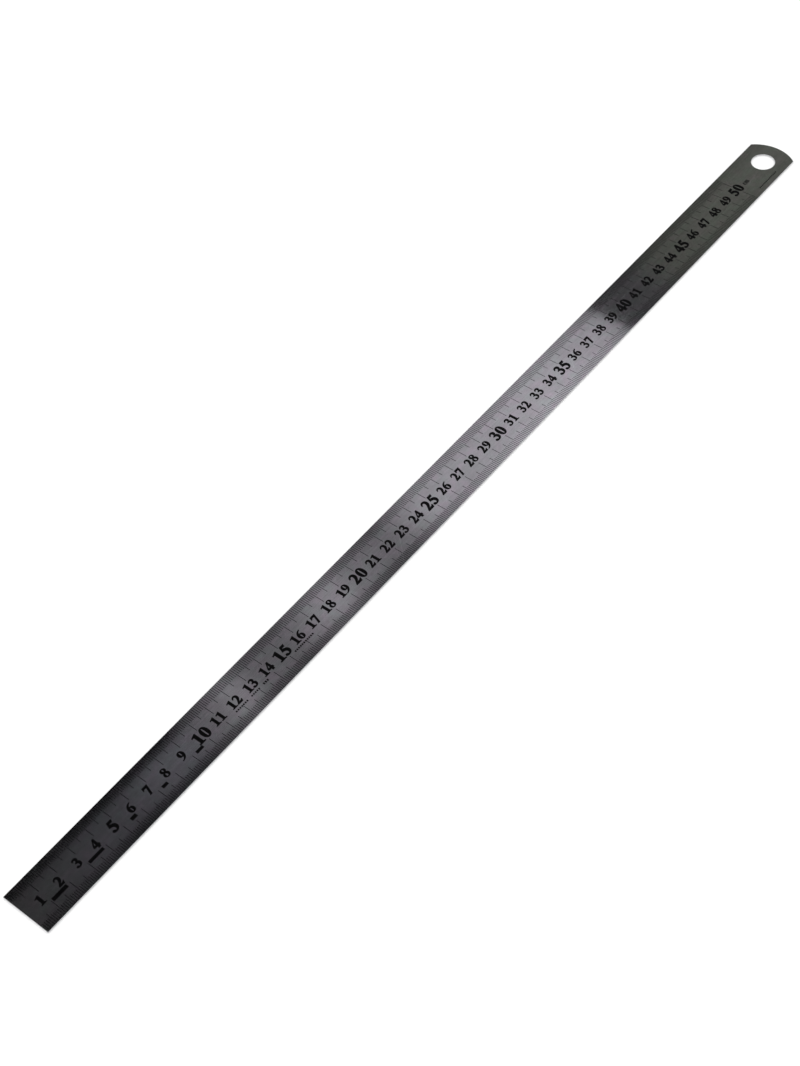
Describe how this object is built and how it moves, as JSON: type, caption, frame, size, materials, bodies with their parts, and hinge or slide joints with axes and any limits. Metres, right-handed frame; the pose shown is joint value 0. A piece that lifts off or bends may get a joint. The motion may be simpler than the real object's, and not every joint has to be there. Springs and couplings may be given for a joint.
{
  "type": "steel ruler",
  "caption": "Flat stainless strip with a scale along both long edges, square at the zero end, round with a hang hole at the far end.",
  "frame": {"origin": "centre of the back face, the face that the ruler rests on", "axes": "+X along the strip from the zero end to the hang hole, +Y across it to the edge that the tops of the figures face, +Z out of the front face that carries the scale"},
  "size_m": [0.538, 0.025, 0.0008],
  "materials": {
    "steel": "cold-rolled stainless, satin, with a fine lengthwise grain and faint marks of handling",
    "enamel": "black enamel wiped into the etched marks, dull"
  },
  "bodies": {
    "root": {"blade": "steel"}
  },
  "joints": []
}
